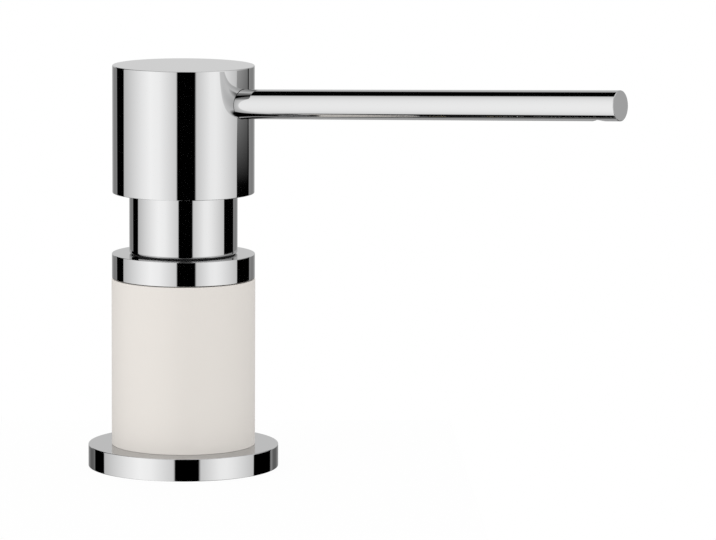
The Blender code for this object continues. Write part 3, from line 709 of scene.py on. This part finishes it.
def make_insert():
    shank_bore = extent("threaded_shank")[0] - SHANK_WALL
    spigot = shank_bore - FIT_GAP
    spigot_bore = spigot - SPIGOT_WALL
    neck, spigot_end, neck_top = extent("neck_sleeve")
    collar_top = extent("collar_ring")[2]
    shade_washer_bottom = collar_top - COLLAR_TOP_DROP + SEAT_GAP
    foot = shade_washer_bottom + FOOT_SHADE_WASHER + SEAT_GAP
    step = collar_top + FIT_GAP + NECK_WEB
    neck_bore = neck - NECK_WALL
    seal, seal_bottom, seal_top = extent("insert_seal")
    groove = seal - (seal_top - seal_bottom) - SEAL_GAP
    groove_top = seal_top + GROOVE_ROOM / 2
    groove_bottom = seal_bottom - GROOVE_ROOM / 2
    add_turned("neck_sleeve", "pump_insert", "chrome_plate", [
        (neck, neck_top, FLANGE_EDGE), (neck, foot, NECK_FOOT_ROUND), (spigot, foot),
        (spigot, groove_top), (groove, groove_top), (groove, groove_bottom),
        (spigot, groove_bottom), (spigot, spigot_end, TURNED_EDGE),
        (spigot_bore, spigot_end, SHARP_EDGE), (spigot_bore, step), (neck_bore, step),
        (neck_bore, neck_top, SHARP_EDGE),
    ], WIDE)
    add_seal("insert_seal", "pump_insert")
    # A black rubber washer under the neck's foot. It is partly painted shade: it stands in for the
    # shadow in the gap between neck and collar
    rim = neck - FOOT_SHADE_WASHER_SETBACK
    washer = turned_shape(ring_corners(rim, shade_washer_bottom, foot - SEAT_GAP,
                                       rim - FOOT_SHADE_WASHER_WIDTH, SEAT_EDGE), WIDE)
    add_piece("neck_foot_shade_washer", mesh_from("neck_foot_shade_washer", washer), "pump_insert",
              "black_rubber")
    make_cylinder(neck_bore)
    make_spring()
    make_dip_tube()


def make_cylinder(neck_bore):
    flange, bottom, top = extent("pump_cylinder")
    piston = extent("piston")[0]
    bore = piston + FIT_GAP
    outer = bore + CYLINDER_WALL
    tube = extent("dip_tube")[0]
    socket_bore = tube + FIT_GAP
    socket = socket_bore + SOCKET_WALL
    socket_top = bottom + SOCKET_DEPTH
    floor = extent("ball_cage")[1] - FIT_GAP
    ball = extent("inlet_ball")[0]
    throat = ball - INLET_SEAT_WIDTH
    taper_top = socket_top + VALVE_WEB
    mesh = mesh_from("pump_cylinder", turned_shape([
        (flange, top, TURNED_EDGE), (flange, top - CYLINDER_FLANGE, TURNED_EDGE),
        (outer, top - CYLINDER_FLANGE), (outer, taper_top, MOULDED_EDGE),
        (socket, taper_top - CYLINDER_TAPER, MOULDED_EDGE), (socket, bottom, TURNED_EDGE),
        (socket_bore, bottom, TURNED_EDGE), (socket_bore, socket_top), (throat, socket_top),
        (throat, taper_top), (ball + INLET_BALL_ROOM, floor), (bore, floor), (bore, top),
    ], MIDDLE))
    vent = drill(VENT_DIAMETER / 2, 0, outer + CUT_OVERRUN, NARROW // 2)
    vent.transform(Matrix.Translation((0, 0, top - VENT_DROP))
                   @ Matrix.Rotation(-math.pi / 2, 4, 'Y'))
    add_piece("fine_pump_cylinder", combine(mesh, vent), "pump_insert", "clear_plastic",
              "pump_cylinder")
    bush, bush_bottom, bush_top = extent("stem_bush")
    stem_hole = extent("outlet_ball")[0] + STEM_ROUND_BALL
    disc_bottom = bush_top - BUSH_DISC
    add_turned("stem_bush", "pump_insert", "grey_plastic", [
        (bush, bush_top, FLANGE_EDGE), (bush, disc_bottom, TURNED_EDGE), (piston, disc_bottom),
        (piston, bush_bottom, TURNED_EDGE), (stem_hole, bush_bottom, TURNED_EDGE),
        (stem_hole, bush_top, TURNED_EDGE),
    ])


def make_spring():
    """The return spring, with a turn lying close at each end."""
    outer, bottom, top = extent("return_spring")
    wire = SPRING_WIRE / 2
    steps = SPRING_TURNS * NARROW
    close = SPRING_WIRE + SPRING_CLOSE_GAP
    opening = [min(1, max(0, min(step, steps - step) / NARROW - SPRING_CLOSE_TURNS))
               for step in range(steps)]
    room_left = top - bottom - SPRING_WIRE - close * SPRING_TURNS
    height = bottom + wire
    shape = bmesh.new()
    rings = []
    for step in range(steps + 1):
        angle = 2 * math.pi * step / NARROW
        out = Vector((math.cos(angle), math.sin(angle), 0))
        middle = out * (outer - wire) + Vector((0, 0, height))
        rings.append([shape.verts.new(middle + wire * (out * math.cos(side) + UP * math.sin(side)))
                      for side in (2 * math.pi * index / WIRE_SIDES for index in range(WIRE_SIDES))])
        if step < steps:
            height += close / NARROW + room_left * opening[step] / sum(opening)
    for here, ahead in zip(rings, rings[1:]):
        bridge(shape, here, ahead)
    shape.faces.new(rings[0])
    shape.faces.new(reversed(rings[-1]))
    spring = add_piece("fine_return_spring", mesh_from("return_spring", shape), "pump_insert",
                       "steel", "return_spring")
    press = next(joint for joint in frame["joints"] if joint["name"] == "head_press")
    1 + press["range_m"][0] / (top - bottom)
    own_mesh(spring)


def make_dip_tube():
    """The tube down to the bottle's floor, cut off at a slant."""
    outer, bottom, top = extent("dip_tube")
    bore = outer - TUBE_WALL
    mesh = mesh_from("dip_tube", turned_shape([
        (outer, top, SHARP_EDGE), (outer, bottom), (bore, bottom), (bore, top, SHARP_EDGE),
    ], NARROW))
    knife = bmesh.new()
    side = 8 * outer
    bmesh.ops.create_cube(knife, size=side)
    down = Vector((math.sin(TUBE_SLANT), 0, math.cos(TUBE_SLANT))) * side / 2
    middle = Vector((0, 0, bottom + outer * math.tan(TUBE_SLANT))) - down
    knife.transform(Matrix.Translation(middle) @ Matrix.Rotation(TUBE_SLANT, 4, 'Y'))
    add_piece("fine_dip_tube", combine(mesh, knife), "pump_insert", "clear_plastic", "dip_tube")


def make_head():
    cap, bottom, top = extent("head_cap")
    cap_bore = cap - CAP_WALL
    ceiling = top - CAP_TOP
    low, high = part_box("spout_tube")
    radius = -low.y
    hole = radius + SPOUT_FIT
    end = (high.x - radius * math.sin(SPOUT_RISE)) / math.cos(SPOUT_RISE)
    axis_height = high.z - radius * math.cos(SPOUT_RISE) - end * math.sin(SPOUT_RISE)
    along = (Matrix.Translation((0, 0, axis_height))
             @ Matrix.Rotation(math.pi / 2 - SPOUT_RISE, 4, 'Y'))
    mesh = mesh_from("head_cap", turned_shape([
        (0, top), (cap, top, FLANGE_EDGE), (cap, bottom, SHARP_EDGE),
        (cap_bore, bottom, SHARP_EDGE), (cap_bore, ceiling), (0, ceiling),
    ], WIDE, True))
    tool = drill(hole, cap_bore / 2, cap + CUT_OVERRUN, WIDE)
    tool.transform(along)
    add_piece("fine_head_cap", combine(mesh, tool), "pump_head", "chrome_plate", "head_cap")
    neck = extent("neck_sleeve")[0]
    add_ring("cap_guide_ring", "pump_head", "grey_plastic", neck + FIT_GAP, TURNED_EDGE, WIDE)
    bore = radius - TUBE_WALL
    mesh = mesh_from("spout_tube", turned_shape([
        (0, end), (radius, end, SHARP_EDGE), (radius, SPOUT_ROOT, TURNED_EDGE),
        (bore, SPOUT_ROOT), (bore, end - TUBE_WALL), (0, end - TUBE_WALL),
    ], MIDDLE, True))
    outlet = OUTLET_DIAMETER / 2
    tool = turned_shape([
        (0, radius + CUT_OVERRUN), (outlet + CUT_OVERRUN, radius + CUT_OVERRUN),
        (outlet + OUTLET_EDGE, radius), (outlet, radius - OUTLET_EDGE), (outlet, 0), (0, 0),
    ], NARROW, True)
    tool.transform(Matrix.Translation((0, 0, end - OUTLET_FROM_END))
                   @ Matrix.Rotation(math.pi / 2, 4, 'Y'))
    mesh = combine(mesh, tool)
    mesh.transform(along)
    add_piece("fine_spout_tube", mesh, "pump_head", "chrome_plate", "spout_tube")


def add_ball(node, body):
    """A polished ball as wide as its node."""
    radius, bottom, top = extent(node)
    middle = (bottom + top) / 2
    outline = [(radius * math.sin(math.pi * step / BALL_STEPS),
                middle + radius * math.cos(math.pi * step / BALL_STEPS))
               for step in range(BALL_STEPS + 1)]
    add_turned(node, body, "steel", outline, NARROW, True)


def make_valves():
    add_ball("inlet_ball", "inlet_valve")
    add_ball("outlet_ball", "outlet_valve")
    add_seal("piston_seal", "pump_rod")
    add_seal("swivel_seal", "pump_head")
    outer, bottom, top = extent("piston")
    seal, seal_bottom, seal_top = extent("piston_seal")
    groove = seal - (seal_top - seal_bottom) - SEAL_GAP
    stem_hole = extent("outlet_ball")[0] + STEM_ROUND_BALL
    add_turned("piston", "pump_rod", "grey_plastic", [
        (outer, top, TURNED_EDGE), (outer, seal_top + GROOVE_ROOM / 2),
        (groove, seal_top + GROOVE_ROOM / 2), (groove, seal_bottom - GROOVE_ROOM / 2),
        (outer, seal_bottom - GROOVE_ROOM / 2), (outer, bottom, TURNED_EDGE),
        (stem_hole, bottom, TURNED_EDGE), (stem_hole, top, TURNED_EDGE),
    ])


def dress_inner_pieces():
    """The pieces that keep their solid's shape get the finish of their slot."""
    for name in ("soap_bottle", "clamp_nut", "clamp_washer", "threaded_shank"):
        bpy.data.objects["fine_" + name].visible_glossy = False
    for node, piece in frame["nodes"].items():
        if piece.hide_render:
            continue
        slot = piece.data.materials[0].name
        piece.data.materials[0] = FINISHES[slot]


def make_worktop():
    """A piece of worktop with the dispenser's hole, square to the camera."""
    shape = turned_shape([
        (WORKTOP_SIDE, 0), (WORKTOP_SIDE, -WORKTOP_THICKNESS),
        (WORKTOP_HOLE, -WORKTOP_THICKNESS, WORKTOP_EDGE), (WORKTOP_HOLE, 0, WORKTOP_EDGE),
    ], NARROW)
    centre = (WORKTOP_FRONT - WORKTOP_BACK) / 2
    half = (WORKTOP_FRONT + WORKTOP_BACK) / 2
    for vertex in shape.verts:
        x, y = vertex.co.x, vertex.co.y
        if math.hypot(x, y) < WORKTOP_SIDE - WORKTOP_EDGE:
            continue
        stretch = 1 / max(abs(x), abs(y))
        vertex.co.x = WORKTOP_SIDE * x * stretch
        vertex.co.y = half * y * stretch - centre
    shape.transform(Matrix.Rotation(CAMERA_AZIMUTH, 4, 'Z'))
    mesh = mesh_from("worktop", shape)
    material, graph = new_finish("worktop")
    seen = graph.add("LightPath", output="Is Camera Ray")
    up = graph.add("SeparateXYZ", {}, {0: graph.add("NewGeometry", output="Normal")}, 2)
    top = up.math('GREATER_THAN', 0.5)
    speckle = graph.noise(420.0, 2.0)
    pale = graph.add("BsdfDiffuse", {}, {
        "Color": graph.mix(speckle, grey(0.92), grey(0.95))})
    bright = graph.add("Emission", {}, {"Strength": 1.0})
    surface = graph.add("MixShader", {}, {0: seen * top * WORKTOP_GLOW, 1: pale, 2: bright})
    graph.add("OutputMaterial", {}, {"Surface": surface})
    mesh.materials.append(material)
    worktop = bpy.data.objects.new("worktop", mesh)
    worktop.visible_glossy = False
    bpy.context.scene.collection.objects.link(worktop)


def soft_step(value, edge, width):
    """0 below the edge and 1 above it, over the given width."""
    return ((value - edge) / width + 0.5).clamped()


def make_studio():
    """White all round, with the panels and black flags that the chrome shows."""
    world = bpy.data.worlds.new("studio")
    bpy.context.scene.world = world
    graph = Graph(world)
    way = graph.add("TexCoord", output="Generated")
    parts = [graph.add("SeparateXYZ", {}, {0: way}, axis) for axis in range(3)]
    sine, cosine = math.sin(CAMERA_AZIMUTH), math.cos(CAMERA_AZIMUTH)
    toward = parts[0] * sine - parts[1] * cosine
    right = parts[0] * cosine + parts[1] * sine
    degrees = 180 / math.pi
    azimuth = right.math('ARCTAN2', toward) * degrees
    height = parts[2].math('ARCSINE') * degrees
    panels = graph.ramp(azimuth, -180, 180, (
        (-180, 0.27), (-137, 0.27), (-114, 0.50), (-72, 0.87), (-55, 0.99), (-40, 0.95),
        (-11.4, 0.66), (-10.6, 0.0), (19.0, 0.0), (20.2, 0.62), (44, 0.91), (53, 0.93),
        (62, 0.88), (98, 0.55), (133, 0.27), (180, 0.27)))
    behind = graph.ramp(height, -90, 90, (
        (-90, 0.30), (-35, 0.26), (-14, 0.16), (-10, 0.155), (-8, 0.27), (-5, 0.29), (0, 0.50),
        (5.6, 0.61), (7.7, 0.56), (10, 0.555), (21, 0.60), (27, 0.54), (40, 0.45), (90, 0.45)))
    aside = azimuth.math('ABSOLUTE')
    rear = soft_step(aside, 138, 8)
    glow = (soft_step(aside, 160, 16) * 0.17 - 0.04) * (1 - soft_step(height, -3, 4))
    above = (height + 8.0).clamped(0.0, 60.0)
    below = (-8.0 - height).clamped(0.0, 60.0)
    left_flag = (soft_step(azimuth, -136.0 - 0.6 * above - 0.27 * below,
                           1.5 + 0.1 * above + 0.8 * below)
                 * (1 - soft_step(azimuth, -113.2 + 0.16 * above + 0.41 * below,
                                  1.0 + 0.11 * (above + below))))
    low = below.clamped(0.0, 2.5)
    thin_flag = soft_step(azimuth, 128.3, 1.5) * (1 - soft_step(azimuth, 132.3, 1.5)) * 0.95
    low_flag = (soft_step(azimuth, 0, 8) * (1 - soft_step(azimuth, 80, 12))
                * (1 - soft_step(height, -26, 8)))
    right_flag = (soft_step(azimuth, 96.4 - 0.7 * low, 1.0)
                  * (1 - soft_step(azimuth, 133.0 - 1.3 * low, 1.0))
                  * ((-4.6 - height) / 2.3).clamped())
    ceiling = ((height - 60.0) / 12.0).clamped()
    middle_flag = soft_step(azimuth, -11.0, 0.8) * (1 - soft_step(azimuth, 19.6, 1.2))
    front = soft_step(height, 32, 12) * (1 - soft_step(aside, 58, 10)) * (1 - middle_flag)
    studio = graph.mix(rear, panels, behind + glow)
    for flag in (left_flag, right_flag, thin_flag, low_flag):
        studio = studio * (1 - flag)
    studio = (graph.mix(front, studio, grey(FRONT_LEVEL)) + ceiling * CEILING_LEVEL) * STUDIO_LEVEL
    rays = {name: graph.add("LightPath", output=name)
            for name in ("Is Camera Ray", "Is Glossy Ray", "Is Transmission Ray")}
    even = ROOM_LEVEL * STUDIO_LEVEL
    by_chrome = graph.add("LightPath", output="Diffuse Depth").math('GREATER_THAN', 0.5)
    shine = graph.mix(by_chrome, studio, grey(even))
    lit = graph.mix(rays["Is Glossy Ray"], grey(ROOM_LEVEL), shine)
    seen = (rays["Is Camera Ray"] + rays["Is Transmission Ray"]).clamped()
    colour = graph.mix(seen, lit, grey(1.0))
    background = graph.add("Background", {}, {"Color": colour, "Strength": 1.0})
    graph.add("OutputWorld", {}, {"Surface": background})
    add_lamp()


def add_lamp():
    """A wide soft lamp to the left of the camera."""
    lamp = bpy.data.lights.new("soft_lamp", 'AREA')
    lamp.shape = 'RECTANGLE'
    lamp.size = LAMP_WIDTH
    lamp.size_y = LAMP_HEIGHT
    lamp.energy = LAMP_POWER
    holder = bpy.data.objects.new("soft_lamp", lamp)
    azimuth = CAMERA_AZIMUTH - LAMP_ASIDE
    place = Vector((math.sin(azimuth) * LAMP_DISTANCE, -math.cos(azimuth) * LAMP_DISTANCE,
                    LAMP_ABOVE))
    holder.location = place
    holder.rotation_euler = (UP * LAMP_AIM - place).to_track_quat('-Z', 'Y').to_euler()
    holder.visible_glossy = False
    bpy.context.scene.collection.objects.link(holder)


def make_camera():
    """The photograph's view, as a place, a direction and a lens."""
    cos_pitch, sin_pitch = math.cos(CAMERA_PITCH), math.sin(CAMERA_PITCH)
    ahead = Vector((math.sin(CAMERA_YAW) * cos_pitch, math.cos(CAMERA_YAW) * cos_pitch,
                    -sin_pitch))
    right = Vector((math.cos(CAMERA_YAW), -math.sin(CAMERA_YAW), 0))
    up = right.cross(ahead)
    turned_right = right * math.cos(CAMERA_ROLL) + up * math.sin(CAMERA_ROLL)
    turned_up = up * math.cos(CAMERA_ROLL) - right * math.sin(CAMERA_ROLL)
    frame_of_camera = Matrix((turned_right, turned_up, -ahead)).transposed().to_4x4()
    frame_of_camera.translation = (0, -CAMERA_DISTANCE, CAMERA_HEIGHT)
    camera = bpy.data.cameras.new("camera")
    camera.lens = CAMERA_LENS
    camera.clip_end = CAMERA_FAR
    holder = bpy.data.objects.new("camera", camera)
    holder.matrix_world = Matrix.Rotation(CAMERA_AZIMUTH, 4, 'Z') @ frame_of_camera
    bpy.context.scene.collection.objects.link(holder)
    bpy.context.scene.camera = holder


FINISHES = make_finishes()
make_base()
make_clamp()
make_insert()
make_head()
make_valves()
dress_inner_pieces()
make_worktop()
make_studio()
make_camera()
bpy.context.scene.view_settings.view_transform = 'Standard'
